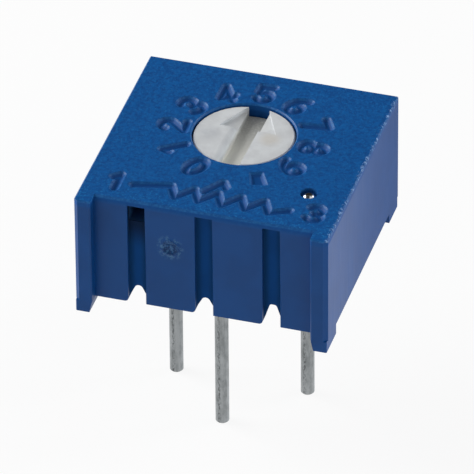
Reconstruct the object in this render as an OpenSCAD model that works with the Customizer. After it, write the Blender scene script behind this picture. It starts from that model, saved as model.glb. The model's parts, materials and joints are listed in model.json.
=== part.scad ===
// Square single-turn trimmer potentiometer: a sealed moulded body, a slotted rotor in its top face
// and three round pins below. Millimetres, +Z up, the front wall with its channels faces -Y.
// The origin is the middle of the body, on the surface of the circuit board that it stands on.

/* [Body] */
// Width and depth of the square body
body_w = 9.53; // [9.2:0.01:10.2]
// Height of the top face above the board
body_h = 4.95; // [4.8:0.01:5.6]
// Thickness of the side and back walls
side_wall = 0.64; // [0.5:0.01:0.75]
// Chamfer on the two front corners
front_corner = 0.16; // [0.05:0.01:0.3]
// Chamfer on the two back corners
back_corner = 0.06; // [0.02:0.01:0.2]
// Small chamfer round the top face and round the rotor's hole
edge_break = 0.05; // [0.02:0.01:0.1]

/* [Front wall] */
// How far the front wall lies behind the ends of the side walls
front_recess = 0.45; // [0.2:0.01:0.6]
// Thickness of the front wall
front_wall = 0.50; // [0.4:0.01:0.8]
// Radius on the top edge of the front wall
lip_r = 0.18; // [0.05:0.01:0.3]
// Spacing of the three channels down the front wall
channel_pitch = 2.54; // [2.2:0.01:2.8]
// Width of each channel and of the foot of the notch below it
channel_w = 0.66; // [0.4:0.01:0.9]
// Depth of each channel
channel_d = 0.24; // [0.1:0.01:0.3]
// Solid lip left above the channels
channel_lip = 0.20; // [0.1:0.01:0.4]
// Depth of the pocket at the top of the left channel
pocket_d = 1.20; // [0.35:0.01:1.4]
// Height of that pocket
pocket_h = 0.80; // [0.4:0.01:1.2]
// Rise of the three arched notches above the wall's lower edge, left to right
notch_rise = [0.62, 0.58, 0.80]; // [0.4:0.01:0.9]
// Radius at the top of each notch, from which its sides spread to the channel's width
notch_top_r = 0.16; // [0.1:0.01:0.2]
// Radius where the left side of a notch meets the wall's lower edge
notch_round = 0.15; // [0.05:0.01:0.2]

/* [Feet] */
// Gap between the walls' lower edge and the board
standoff = 0.47; // [0.3:0.01:0.6]
// Length of the two front feet along the side walls
front_foot_l = 1.27; // [0.8:0.01:2]
// Length of the two back feet along the side walls
back_foot_l = 1.16; // [0.8:0.01:2]
// Step from the walls' outer faces in to a foot
foot_step = 0.02; // [0.01:0.01:0.1]
// Chamfer on the feet's upright corners
foot_corner = 0.03; // [0.01:0.01:0.1]
// Slope of a foot's inner face over its height
foot_slope = 0.10; // [0:0.01:0.2]

/* [Rotor] */
// Distance of the rotor's axis behind the middle of the body
rotor_y = 0.88; // [0.7:0.01:0.9]
// Diameter of the rotor's head
head_d = 3.74; // [3.4:0.01:4.1]
// Running gap between the head and its hole
head_gap = 0.05; // [0.03:0.01:0.08]
// Depth of the rotor's face below the top face
face_sink = 0.07; // [0.02:0.01:0.2]
// Width of the screwdriver slot
slot_w = 0.80; // [0.5:0.01:1]
// Depth of the screwdriver slot below the rotor's face
slot_d = 0.45; // [0.3:0.01:0.6]
// Depth of the arrow head cut at the slot's far end
arrow_d = 0.18; // [0.05:0.01:0.25]
// Width of the arrow head across its barbs
arrow_w = 2.16; // [1.6:0.01:2.4]
// Distance of the barbs past the rotor's axis
arrow_y = 0.40; // [0.2:0.01:0.8]
// Half angle of the arrow head
arrow_angle = 26; // [22:1:35]
// Turn of the arrow from the middle of its travel, clockwise seen from above
rest_turn = 1.3; // [0:0.1:10]

/* [Rotor flange and stops] */
// Reach of the flange beyond the head
flange_w = 0.68; // [0.5:0.01:0.8]
// Thickness of the flange
flange_t = 0.60; // [0.4:0.01:0.8]
// Reach of the stop lug beyond the flange
lug_l = 0.45; // [0.3:0.01:0.5]
// Gap between the flange and the roof above it
roof_gap = 0.10; // [0.08:0.01:0.2]
// Gap between the stop lug's end and the chamber wall
lug_gap = 0.15; // [0.1:0.01:0.25]
// Angle that the stop lug spans
lug_angle = 20; // [12:1:30]
// Angle that the stop rib in the body spans, which with the lug leaves 311 degrees between the stops
rib_angle = 29; // [24:1:60]
// Gap between the stop rib and the flange
rib_gap = 0.10; // [0.05:0.01:0.15]
// How far the stop rib reaches below the flange
rib_drop = 0.05; // [0.02:0.01:0.1]

/* [Roof and seal ring] */
// Thickness of the roof over the ring
roof_t = 0.66; // [0.5:0.01:0.8]
// Thickness of the squeezed ring, top to bottom
ring_h = 0.52; // [0.4:0.01:0.55]
// Width of the ring, from its inner to its outer edge
ring_w = 0.66; // [0.6:0.01:0.75]
// Gap between the ring and the turning rotor
ring_gap = 0.02; // [0.01:0.01:0.05]

/* [Contact spring] */
// Thickness of the spring sheet
spring_t = 0.09; // [0.06:0.01:0.12]
// Width of each spring finger
finger_w = 0.18; // [0.12:0.01:0.22]
// Spacing of the fingers
finger_pitch = 0.26; // [0.23:0.01:0.3]
// Radius of the rounded knee that touches the track
knee_r = 0.10; // [0.06:0.01:0.14]
// Gap under the knees
knee_gap = 0.02; // [0.01:0.01:0.04]
// Length of the upturned tail past each knee
tail_l = 0.28; // [0.1:0.01:0.35]
// Slope of that tail
tail_angle = 38; // [20:1:50]
// Distance behind the rotor's axis at which the outer fingers bend down
finger_bend = 0.20; // [0:0.01:0.4]
// Width of the spring's plate
plate_w = 2.40; // [2.2:0.01:2.6]
// Length of the spring's plate
plate_l = 1.20; // [1.05:0.01:1.3]
// Distance of the plate's front edge from the rotor's axis
plate_edge = 0.90; // [0.8:0.01:1]
// Diameter of the two studs that hold the plate
stud_d = 0.50; // [0.4:0.01:0.6]
// Diameter of the studs' flattened heads
stud_head_d = 0.80; // [0.7:0.01:0.9]
// Thickness of the studs' flattened heads
stud_head_t = 0.12; // [0.08:0.01:0.15]
// Spacing of the studs
stud_pitch = 1.40; // [1.3:0.01:1.5]

/* [Ceramic and tracks] */
// Thickness of the ceramic plate
ceramic_t = 0.60; // [0.5:0.01:0.7]
// Gap between the ceramic plate and the walls
ceramic_gap = 0.05; // [0.02:0.01:0.1]
// Thickness of the printed films
film_t = 0.03; // [0.02:0.005:0.04]
// Gap between the resistive track and the pads round the outer pins
track_gap = 0.07; // [0.05:0.01:0.1]
// Width of the resistive track
track_w = 0.60; // [0.5:0.01:0.66]
// Angle left open between the two ends of the resistive track
track_open = 80; // [75:1:100]
// Angle of each end pad beyond the track
end_pad_angle = 19; // [12:1:20]
// Width of the curved lead from an end pad to its pin
lead_w = 0.50; // [0.4:0.01:0.55]
// Gap between the track and the curved leads
lead_gap = 0.12; // [0.08:0.01:0.14]
// Diameter of the collector pad in the middle
collector_d = 1.50; // [1.2:0.01:1.8]
// Width of the strip from the collector pad to the middle pin
strip_w = 0.50; // [0.4:0.01:0.6]
// Width of the printed ring round each pin
pad_w = 0.215; // [0.2:0.005:0.25]
// Gap between a pin's printed pad and the body's ledge, where a pocket is needed for it
pad_gap = 0.05; // [0.02:0.01:0.1]
// Height from the ceramic plate to the flange above it
element_gap = 0.70; // [0.66:0.01:0.9]
// Width of the ledge on which the ceramic plate rests
ledge_w = 0.60; // [0.5:0.01:0.7]
// Height of the room above the ceramic plate for the pins' heads
terminal_room = 0.55; // [0.4:0.01:0.6]

/* [Pins and potting] */
// Diameter of the round pins
pin_d = 0.51; // [0.4:0.01:0.56]
// Length of the pins below the board's surface
pin_l = 5.90; // [3:0.01:8]
// Grid on which the pins stand
pin_grid = 2.54; // [2.4:0.01:2.6]
// Distance of the row with the two outer pins behind the middle of the body
pin_row_y = 0.38; // [0.3:0.01:0.5]
// Chamfer on the pins' cut ends
pin_chamfer = 0.04; // [0.02:0.01:0.1]
// Reach of a pin's flattened head beyond the pin
pin_head_w = 0.065; // [0.05:0.005:0.1]
// Thickness of the pins' flattened heads
pin_head_t = 0.12; // [0.08:0.01:0.15]
// Reach of the thick anchor, which the resin holds under the ceramic plate, beyond the pin
anchor_w = 0.17; // [0.16:0.01:0.2]
// Gap between a pin and its hole in the ceramic plate
pin_hole_gap = 0.03; // [0.01:0.01:0.05]
// Reach of the solder fillet beyond a pin's head
solder_w = 0.12; // [0.08:0.01:0.13]
// Height of the solder fillet
solder_h = 0.09; // [0.05:0.01:0.1]
// Height of the hollow fillet halfway out, as a share of its full height
solder_hollow = 0.35; // [0.3:0.01:0.5]
// Thickness of the potting at the walls
potting_t = 0.80; // [0.5:0.01:1]
// Depth of the round hollow in the potting's free surface
potting_dish = 0.10; // [0.05:0.01:0.2]
// Width of the slope where the potting creeps up to the hollow's rim
meniscus_w = 0.50; // [0.2:0.01:0.7]
// Distance from the middle of that slope to the front and back walls
meniscus_margin = 0.55; // [0.4:0.01:0.8]

/* [Vent] */
// Distance of the vent's middle from the right side of the body
vent_from_side = 1.47; // [1.42:0.01:1.6]
// Distance of the vent's middle from the front ends of the side walls
vent_from_front = 2.725; // [2.4:0.005:3]
// Diameter of the vent's mouth
vent_d = 0.64; // [0.5:0.01:0.7]
// Diameter of the vent's passage below its seat
vent_bore = 0.30; // [0.2:0.01:0.35]
// Depth of the ball's top below the top face
ball_sink = 0.02; // [0.01:0.01:0.2]
// Gap between the steel ball and the vent's wall
ball_gap = 0.01; // [0.01:0.005:0.03]

/* [Hidden] */
$fn = 64;

// Cuts run this far past the faces that they open
over = 0.5;

// Half the body's width, and the inner faces of its side, front and back walls
half_w = body_w / 2;
inner_x = half_w - side_wall;
front_face_y = -half_w + front_recess;
inner_front_y = front_face_y + front_wall;
inner_back_y = half_w - side_wall;
// Radius of the four upright corners inside the walls
inner_corner_r = 0.35;

// Heights, from the rotor's face and the roof down to the potting
face_z = body_h - face_sink;
roof_z = body_h - roof_t;
ring_z = roof_z - ring_h;
flange_top_z = ring_z - ring_gap;
chamber_top_z = flange_top_z + roof_gap;
flange_z = flange_top_z - flange_t;
ledge_z = flange_z - element_gap;
film_z = ledge_z + film_t;
relief_z = ledge_z + terminal_room;
ceramic_z = ledge_z - ceramic_t;
potting_z = ceramic_z - potting_t + potting_dish;

// Radii about the rotor's axis
head_r = head_d / 2;
hole_r = head_r + head_gap;
ring_inner_r = head_r + ring_gap;
ring_outer_r = ring_inner_r + ring_w;
flange_r = head_r + flange_w;
lug_r = flange_r + lug_l;
chamber_r = lug_r + lug_gap;
rib_r = flange_r + rib_gap;
// How far the lug's root reaches into the flange, and a foot's root into the wall above
lug_root = 0.2;
foot_root = 0.12;

// Places of pins 1, 2 and 3, seen from above with the front wall near
pin_places = [
    [-pin_grid, pin_row_y],
    [0, pin_row_y - pin_grid],
    [pin_grid, pin_row_y]
];

// Diameters round a pin
pin_hole_d = pin_d + 2 * pin_hole_gap;
pin_head_d = pin_d + 2 * pin_head_w;
anchor_d = pin_d + 2 * anchor_w;
pin_pad_d = pin_d + 2 * pad_w;

// Radii of the films, which lie between the rotor's axis and the pads of the outer pins
track_outer_r = norm(pin_places[0] - [0, rotor_y]) - pin_pad_d / 2 - track_gap;
track_inner_r = track_outer_r - track_w;
track_r = track_outer_r - track_w / 2;
track_angle = 360 - track_open;
lead_inner_r = track_outer_r + lead_gap;

// Vent: its place, the ball in it and the height of the seat under the ball
vent_place = [half_w - vent_from_side, -half_w + vent_from_front];
ball_r = vent_d / 2 - ball_gap;
ball_z = body_h - ball_sink - ball_r;
vent_seat_z = ball_z - sqrt(pow(ball_r, 2) - pow(vent_bore / 2, 2)) - ball_gap / 2;

// The rotor's axis, and what turns with it at the angle of the rest pose
module at_axis() {
    translate([0, rotor_y, 0])
        children();
}

module turned() {
    at_axis()
        rotate([0, 0, -rest_turn])
            children();
}

// Outline between two corners with a square of the given chamfer taken off each corner
module chamfered_square(half, front, back) {
    polygon([
        [-half, -half + front], [-half + front, -half], [half - front, -half], [half, -half + front],
        [half, half - back], [half - back, half], [-half + back, half], [-half, half - back]
    ]);
}

// Outline of the room inside the walls, drawn in by inset, with round corners of radius r
module inner_outline(inset, r) {
    x = inner_x - inset;
    y0 = inner_front_y + inset;
    y1 = inner_back_y - inset;
    translate([-x + r, y0])
        square([2 * (x - r), y1 - y0]);
    translate([-x, y0 + r])
        square([2 * x, y1 - y0 - 2 * r]);
    for (sx = [-1, 1], y = [y0 + r, y1 - r])
        translate([sx * (x - r), y])
            circle(r);
}

// Outline of a part of a ring, from radius r0 to r1, that spans an angle about its middle one
module sector(r0, r1, middle, span) {
    reach = 2 * r1 / cos(span / 8);
    intersection() {
        difference() {
            circle(r1);
            circle(r0);
        }
        polygon(concat([[0, 0]], [
            for (k = [-2:2])
                let (a = middle + k * span / 4)
                    [reach * cos(a), reach * sin(a)]
        ]));
    }
}

// Profile across the body that takes the small chamfer off its two top edges
module crown_profile() {
    polygon([
        [-half_w, standoff], [half_w, standoff], [half_w, body_h - edge_break],
        [half_w - edge_break, body_h], [-half_w + edge_break, body_h], [-half_w, body_h - edge_break]
    ]);
}

// Solid block of the body, down to the walls' lower edge
module block() {
    intersection() {
        translate([0, 0, standoff])
            linear_extrude(body_h - standoff)
                chamfered_square(half_w, front_corner, back_corner);
        rotate([90, 0, 0])
            linear_extrude(2 * body_w, center = true)
                crown_profile();
        rotate([90, 0, 90])
            linear_extrude(2 * body_w, center = true)
                crown_profile();
    }
}

// The four corner feet, each a short length of side wall with a sloping inner face
module feet() {
    foot_half = half_w - foot_step;
    foot_top = standoff + foot_root;
    root_x = inner_x + foot_step / 2;
    intersection() {
        union() {
            linear_extrude(standoff)
                chamfered_square(foot_half, foot_corner, foot_corner);
            linear_extrude(foot_top)
                chamfered_square(foot_half, front_corner, back_corner);
        }
        for (sx = [-1, 1], sy = [-1, 1])
            scale([sx, sy, 1])
                translate([0, half_w, 0])
                    rotate([90, 0, 0])
                        linear_extrude(sy < 0 ? front_foot_l : back_foot_l)
                            polygon([
                                [root_x + foot_slope, 0], [half_w, 0], [half_w, foot_top],
                                [root_x, foot_top], [root_x, standoff]
                            ]);
    }
}

// Space in front of the front wall, with the edges of the two posts beside it taken off
module front_space() {
    translate([0, 0, -over])
        linear_extrude(body_h + 2 * over)
            polygon([
                [-inner_x, front_face_y], [-inner_x, -half_w + edge_break],
                [-inner_x - edge_break - over, -half_w - over], [inner_x + edge_break + over, -half_w - over],
                [inner_x, -half_w + edge_break], [inner_x, front_face_y]
            ]);
    // Rounds the top edge of the front wall
    translate([-inner_x, front_face_y, body_h])
        rotate([90, 0, 90])
            linear_extrude(2 * inner_x)
                difference() {
                    translate([-over, -lip_r])
                        square([lip_r + over, lip_r + over]);
                    translate([lip_r, -lip_r])
                        circle(lip_r);
                }
}

// One arched notch through the front wall: a round top, sides that spread from it to the channel's
// width, and a rounded left foot
module notch(rise) {
    side_x = channel_w / 2;
    top_z = rise - notch_top_r;
    drop = top_z - notch_round;
    // Direction from the top's centre in which a side touches the round top
    touch = acos(notch_top_r / norm([side_x, drop])) - atan(drop / side_x);
    touch_x = notch_top_r * cos(touch);
    touch_z = top_z + notch_top_r * sin(touch);
    translate([0, inner_front_y + over, standoff])
        rotate([90, 0, 0])
            linear_extrude(front_wall + 2 * over) {
                polygon([
                    [-side_x, -over], [side_x, -over], [side_x, notch_round], [touch_x, touch_z],
                    [-touch_x, touch_z], [-side_x, notch_round]
                ]);
                translate([0, top_z])
                    circle(notch_top_r);
                difference() {
                    translate([-side_x - notch_round, -over])
                        square([notch_round + side_x, notch_round + over]);
                    translate([-side_x - notch_round, notch_round])
                        circle(notch_round);
                }
            }
}

// The three channels down the front wall, their notches and the pocket over the left one
module channels() {
    channel_top = body_h - channel_lip;
    for (i = [0:2])
        translate([(i - 1) * channel_pitch, 0, 0]) {
            translate([-channel_w / 2, front_face_y - over, -over])
                cube([channel_w, channel_d + over, channel_top + over]);
            notch(notch_rise[i]);
        }
    translate([-channel_pitch - channel_w / 2, front_face_y - over, channel_top - pocket_h])
        cube([channel_w, pocket_d + over, pocket_h]);
}

// Everything that is hollow inside the body
module cavity() {
    translate([0, 0, -over])
        linear_extrude(ledge_z + over)
            inner_outline(0, inner_corner_r);
    translate([0, 0, ledge_z - over])
        linear_extrude(terminal_room + over) {
            inner_outline(ledge_w, inner_corner_r);
            for (p = pin_places)
                translate(p)
                    circle(d = pin_pad_d + 2 * pad_gap);
        }
    at_axis() {
        translate([0, 0, ledge_z - over])
            cylinder(r = chamber_r, h = chamber_top_z - ledge_z + over);
        translate([0, 0, flange_z])
            cylinder(r = ring_outer_r, h = roof_z - flange_z);
        translate([0, 0, flange_z])
            cylinder(r = hole_r, h = body_h + over - flange_z);
        translate([0, 0, body_h - edge_break])
            cylinder(r1 = hole_r, r2 = hole_r + 2 * edge_break, h = 2 * edge_break);
    }
}

// The small vent in the roof, with a step on which the ball sits
module vent() {
    translate([vent_place[0], vent_place[1], 0]) {
        translate([0, 0, vent_seat_z])
            cylinder(d = vent_d, h = body_h - vent_seat_z + over);
        translate([0, 0, relief_z - terminal_room / 2])
            cylinder(d = vent_bore, h = body_h - relief_z);
    }
}

module housing() {
    color("#1c57a3") {
        difference() {
            union() {
                block();
                feet();
            }
            front_space();
            channels();
            cavity();
            vent();
        }
        // Stop for the rotor's lug, at the front of the chamber
        at_axis()
            translate([0, 0, flange_z - rib_drop])
                linear_extrude(flange_t + 2 * roof_gap + rib_drop)
                    sector(rib_r, chamber_r + lug_gap, 270, rib_angle);
    }
}

// Screwdriver slot across the whole head, and the arrow head at its far end
module slot_and_arrow() {
    reach = head_r + over;
    tip_half = arrow_w / 2 - (reach - arrow_y) * tan(arrow_angle);
    translate([-slot_w / 2, -reach, face_z - slot_d])
        cube([slot_w, 2 * reach, slot_d + over]);
    translate([0, 0, face_z - arrow_d])
        linear_extrude(arrow_d + over)
            polygon([
                [-arrow_w / 2, arrow_y], [arrow_w / 2, arrow_y],
                [max(tip_half, 0.01), reach], [-max(tip_half, 0.01), reach]
            ]);
}

// Two studs under the flange, flattened over the contact spring's plate
module studs() {
    plate_z = flange_z - spring_t;
    for (sx = [-1, 1])
        translate([sx * stud_pitch / 2, -plate_edge - plate_l / 2, 0]) {
            translate([0, 0, plate_z])
                cylinder(d = stud_d, h = spring_t + flange_t / 2);
            translate([0, 0, plate_z - stud_head_t])
                cylinder(d1 = stud_head_d - stud_head_t, d2 = stud_head_d, h = stud_head_t);
        }
}

module rotor() {
    color("#ecece8")
        turned()
            difference() {
                union() {
                    translate([0, 0, flange_z])
                        linear_extrude(flange_t) {
                            circle(flange_r);
                            sector(flange_r - lug_root, lug_r, 90, lug_angle);
                        }
                    translate([0, 0, flange_z + flange_t / 2])
                        cylinder(r = head_r, h = face_z - edge_break - flange_z - flange_t / 2);
                    translate([0, 0, face_z - edge_break])
                        cylinder(r1 = head_r, r2 = head_r - edge_break, h = edge_break);
                    studs();
                }
                slot_and_arrow();
            }
}

// Rubber ring, squeezed flat between the roof and the flange
module o_ring() {
    round_r = ring_h / 2;
    color("#3a3a3a")
        at_axis()
            translate([0, 0, ring_z + round_r])
                rotate_extrude() {
                    translate([ring_inner_r + round_r, 0])
                        circle(round_r);
                    translate([ring_outer_r - round_r, 0])
                        circle(round_r);
                    translate([ring_inner_r + round_r, -round_r])
                        square([ring_w - ring_h, ring_h]);
                }
}

// One spring finger: flat under the flange, then down to a rounded knee at reach_y, and up again
module finger(x, bend_y, reach_y) {
    sheet_z = flange_z - spring_t / 2;
    knee_z = film_z + knee_gap + knee_r;
    half_t = spring_t / 2;
    root_y = -plate_edge - spring_t;
    tail = tail_l * [cos(tail_angle), sin(tail_angle)];
    line = [[root_y, sheet_z], [bend_y, sheet_z], [reach_y, knee_z], [reach_y, knee_z] + tail];
    upper = [for (p = line) [p[0], p[1] + half_t]];
    lower = [for (i = [len(line) - 1:-1:0]) [line[i][0], line[i][1] - half_t]];
    translate([x - finger_w / 2, 0, 0]) {
        rotate([90, 0, 90])
            linear_extrude(finger_w)
                polygon(concat(upper, lower));
        translate([0, reach_y, knee_z])
            rotate([0, 90, 0])
                cylinder(r = knee_r, h = finger_w);
    }
}

// Contact spring: a plate on the studs, two pairs of fingers on the track and one on the collector
module wiper() {
    color("#c9a24a")
        turned() {
            difference() {
                translate([-plate_w / 2, -plate_edge - plate_l, flange_z - spring_t])
                    cube([plate_w, plate_l, spring_t]);
                for (sx = [-1, 1])
                    translate([sx * stud_pitch / 2, -plate_edge - plate_l / 2, flange_z - spring_t - over])
                        cylinder(d = stud_d, h = spring_t + 2 * over);
            }
            for (side = [-1, 1], lane = [1.5, 2.5])
                let (x = side * lane * finger_pitch)
                    finger(x, finger_bend, sqrt(pow(track_r, 2) - pow(x, 2)));
            finger(0, -plate_edge + spring_t, 0);
        }
}

// Ceramic plate that carries the printed films, with a hole for each pin
module substrate() {
    color("#f4f1ea")
        difference() {
            translate([0, 0, ceramic_z])
                linear_extrude(ceramic_t)
                    inner_outline(ceramic_gap, inner_corner_r - ceramic_gap);
            for (p = pin_places)
                translate([p[0], p[1], ceramic_z - over])
                    cylinder(d = pin_hole_d, h = ceramic_t + 2 * over);
        }
}

// Printed film of the outline drawn by its children, with a hole for the pin at place
module film(place) {
    translate([0, 0, ledge_z])
        linear_extrude(film_t)
            difference() {
                children();
                translate(place)
                    circle(d = pin_hole_d);
            }
}

module resistive_track() {
    color("#2b2623")
        translate([0, rotor_y, ledge_z])
            linear_extrude(film_t)
                sector(track_inner_r, track_outer_r, 90, track_angle);
}

// Printed conductor from one end of the track round to its outer pin
module track_end(place) {
    side = place[0] < 0 ? 1 : -1;
    pin_angle = 90 + side * (180 - acos(abs(place[1] - rotor_y) / norm(place - [0, rotor_y])));
    pad_start = 90 + side * track_angle / 2;
    pad_end = pad_start + side * end_pad_angle;
    color("#b9bcc0")
        film(place) {
            translate([0, rotor_y]) {
                sector(track_inner_r, lead_inner_r + lead_w / 2, (pad_start + pad_end) / 2, end_pad_angle);
                sector(lead_inner_r, lead_inner_r + lead_w, (pin_angle + pad_end) / 2, abs(pad_end - pin_angle));
            }
            translate(place)
                circle(d = pin_pad_d);
        }
}

// Printed conductor from the pad in the middle to the front pin
module collector_strip() {
    place = pin_places[1];
    color("#b9bcc0")
        film(place) {
            translate([0, rotor_y])
                circle(d = collector_d);
            translate([-strip_w / 2, place[1]])
                square([strip_w, rotor_y - place[1]]);
            translate(place)
                circle(d = pin_pad_d);
        }
}

// Round pin with an anchor in the resin and a flattened head over the ceramic plate
module pin(place) {
    shank_r = pin_d / 2;
    color("#9a9fa3")
        translate([place[0], place[1], 0]) {
            translate([0, 0, -pin_l + pin_chamfer])
                cylinder(r = shank_r, h = film_z + pin_head_t / 2 + pin_l - pin_chamfer);
            translate([0, 0, -pin_l])
                cylinder(r1 = shank_r - pin_chamfer, r2 = shank_r, h = pin_chamfer);
            translate([0, 0, potting_z])
                cylinder(d = anchor_d, h = ceramic_z - potting_z);
            translate([0, 0, film_z])
                cylinder(d = pin_head_d, h = pin_head_t);
        }
}

// Solder fillet round a pin's head
module solder(place) {
    top_r = pin_head_d / 2;
    foot_r = top_r + solder_w;
    color("#c4c8cc")
        translate([place[0], place[1], film_z])
            rotate_extrude()
                polygon([
                    [top_r, 0], [foot_r, 0],
                    [(top_r + foot_r) / 2, solder_h * solder_hollow], [top_r, solder_h]
                ]);
}

// Cast resin that closes the body from below and holds the ceramic plate and the pins
module potting() {
    rim_r = (inner_back_y - inner_front_y) / 2 - meniscus_margin;
    color("#23384f")
        difference() {
            translate([0, 0, potting_z - potting_dish])
                linear_extrude(potting_t)
                    inner_outline(0, inner_corner_r);
            translate([0, (inner_front_y + inner_back_y) / 2, potting_z - 2 * potting_dish])
                cylinder(r1 = rim_r + meniscus_w, r2 = rim_r - meniscus_w, h = 2 * potting_dish);
            for (p = pin_places)
                translate([p[0], p[1], potting_z - over])
                    cylinder(d = anchor_d, h = potting_t + 2 * over);
        }
}

// Polished steel ball that closes the vent
module vent_ball() {
    color("#d7dbdf")
        translate([vent_place[0], vent_place[1], ball_z])
            sphere(ball_r);
}

housing();
rotor();
o_ring();
wiper();
substrate();
resistive_track();
track_end(pin_places[0]);  // track_end_1
track_end(pin_places[2]);  // track_end_3
collector_strip();
pin(pin_places[0]);  // pin_1
pin(pin_places[1]);  // pin_2
pin(pin_places[2]);  // pin_3
solder(pin_places[0]);  // solder_1
solder(pin_places[1]);  // solder_2
solder(pin_places[2]);  // solder_3
potting();
vent_ball();
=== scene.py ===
"""Looks of the square trimmer potentiometer: its sunken marks, materials, light and camera."""

import json
import math

import bmesh
import bpy
import numpy as np
from mathutils import Matrix, Vector, geometry, noise


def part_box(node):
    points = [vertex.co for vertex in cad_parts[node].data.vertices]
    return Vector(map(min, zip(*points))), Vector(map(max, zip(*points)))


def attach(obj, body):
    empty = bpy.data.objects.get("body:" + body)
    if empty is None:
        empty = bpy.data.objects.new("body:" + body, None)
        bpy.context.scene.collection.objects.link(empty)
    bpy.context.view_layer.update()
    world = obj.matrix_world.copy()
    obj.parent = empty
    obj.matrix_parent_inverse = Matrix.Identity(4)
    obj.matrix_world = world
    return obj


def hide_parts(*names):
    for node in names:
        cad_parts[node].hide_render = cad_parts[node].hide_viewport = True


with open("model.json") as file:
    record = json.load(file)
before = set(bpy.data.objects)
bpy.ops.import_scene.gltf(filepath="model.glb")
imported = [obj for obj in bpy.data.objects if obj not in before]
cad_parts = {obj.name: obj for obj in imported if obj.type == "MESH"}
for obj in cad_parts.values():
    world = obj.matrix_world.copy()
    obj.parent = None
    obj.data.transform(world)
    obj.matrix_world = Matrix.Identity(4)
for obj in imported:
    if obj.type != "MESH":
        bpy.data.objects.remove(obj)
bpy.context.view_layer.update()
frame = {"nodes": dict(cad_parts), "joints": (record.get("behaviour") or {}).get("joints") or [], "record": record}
nodes = frame["nodes"]

# All lengths below are in millimetres, as in the part's source, where they aren't said to be in
# metres
MM = 0.001

# Places taken from the CAD part. The front wall lies behind the side walls' ends by its recess
FRONT_RECESS = 0.45
housing_low, housing_high = (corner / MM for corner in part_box("housing"))
HALF_W = housing_high.x
TOP_Z = housing_high.z
PIN_TIP_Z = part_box("pin_1")[0].z / MM
AXIS_Y = frame["joints"][0]["pos_m"][1] / MM
ROTOR_FACE_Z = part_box("rotor")[1].z / MM
FRONT_FACE_Y = housing_low.y + FRONT_RECESS
CHANNEL_PITCH = 2.54

# Scar of the moulding gate on the second post of the front wall, as x and z
GATE = (-1.26, 3.19)
GATE_RADIUS = 0.30

# Darker patches on the rotor's face: x and y, reach and colour
FACE_PATCHES = [
    ((-1.28, 0.72), 0.62, (0.44, 0.46, 0.49, 1)),
    ((0.96, 0.90), 0.60, (0.58, 0.54, 0.48, 1)),
    ((-0.60, 1.50), 0.50, (0.50, 0.52, 0.54, 1)),
]

# Camera, solved from the photograph's corners, feet and pins
CAMERA_AZIMUTH = 16.860
CAMERA_ELEVATION = 35.921
CAMERA_ROLL = -0.463
CAMERA_DISTANCE = 293.58
CAMERA_SHIFT_RIGHT = -0.0427
CAMERA_SHIFT_UP = 0.7506
FOCAL_PIXELS = 7996.6
PHOTO_PIXELS = 474
SENSOR = 36.0
# What the camera can see, in metres
CLIP_START = 0.01
CLIP_END = 10


def add_camera():
    """Camera at the photograph's angle, looking at the part from its front right."""
    angles = (CAMERA_AZIMUTH, CAMERA_ELEVATION, CAMERA_ROLL)
    azimuth, elevation, roll = (math.radians(a) for a in angles)
    back = Vector((
        math.sin(azimuth) * math.cos(elevation),
        -math.cos(azimuth) * math.cos(elevation),
        math.sin(elevation),
    ))
    level = Vector((0, 0, 1)).cross(back).normalized()
    rise = back.cross(level)
    right = math.cos(roll) * level + math.sin(roll) * rise
    up = math.cos(roll) * rise - math.sin(roll) * level
    place = right * CAMERA_SHIFT_RIGHT + up * CAMERA_SHIFT_UP + back * CAMERA_DISTANCE
    data = bpy.data.cameras.new("camera")
    data.sensor_width = SENSOR
    data.lens = FOCAL_PIXELS / PHOTO_PIXELS * SENSOR
    data.clip_start = CLIP_START
    data.clip_end = CLIP_END
    camera = bpy.data.objects.new("camera", data)
    axes = Matrix((right, up, back)).transposed().to_4x4()
    camera.matrix_world = Matrix.Translation(place * MM) @ axes
    bpy.context.scene.collection.objects.link(camera)
    bpy.context.scene.camera = camera


class Nodes:
    """A node tree, with short calls for the nodes that the materials and the world share."""

    def __init__(self, owner):
        owner.use_nodes = True
        self.tree = owner.node_tree
        self.tree.nodes.clear()

    def add(self, kind):
        return self.tree.nodes.new(kind)

    def link(self, source, target):
        self.tree.links.new(source, target)

    def feed(self, target, value):
        if isinstance(value, bpy.types.NodeSocket):
            self.link(value, target)
        else:
            target.default_value = value

    def vector_math(self, operation, a, b=None, scale=None):
        node = self.add("ShaderNodeVectorMath")
        node.operation = operation
        self.feed(node.inputs[0], a)
        if b is not None:
            self.feed(node.inputs[1], b)
        if scale is not None:
            node.inputs["Scale"].default_value = scale
        return node.outputs["Value" if operation in ("DISTANCE", "DOT_PRODUCT") else "Vector"]

    def math(self, operation, a, b=0.0):
        node = self.add("ShaderNodeMath")
        node.operation = operation
        self.feed(node.inputs[0], a)
        self.feed(node.inputs[1], b)
        return node.outputs[0]

    def times(self, product, *others):
        """Product of one or more numbers."""
        for other in others:
            product = self.math("MULTIPLY", product, other)
        return product

    def parts(self, vector):
        """X, Y and Z of a vector."""
        node = self.add("ShaderNodeSeparateXYZ")
        self.link(vector, node.inputs[0])
        return tuple(node.outputs)

    def step(self, value, low, high, to_low=0.0, to_high=1.0):
        """Smooth change of value from low to high into to_low to to_high."""
        node = self.add("ShaderNodeMapRange")
        node.interpolation_type = "SMOOTHSTEP"
        self.feed(node.inputs["Value"], value)
        node.inputs["From Min"].default_value = low
        node.inputs["From Max"].default_value = high
        node.inputs["To Min"].default_value = to_low
        node.inputs["To Max"].default_value = to_high
        return node.outputs["Result"]

    def zone(self, value, *limits):
        """1 where value is past every limit, each given as where it starts and where it is full."""
        return self.times(*(self.step(value, *limit) for limit in limits))


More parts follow.
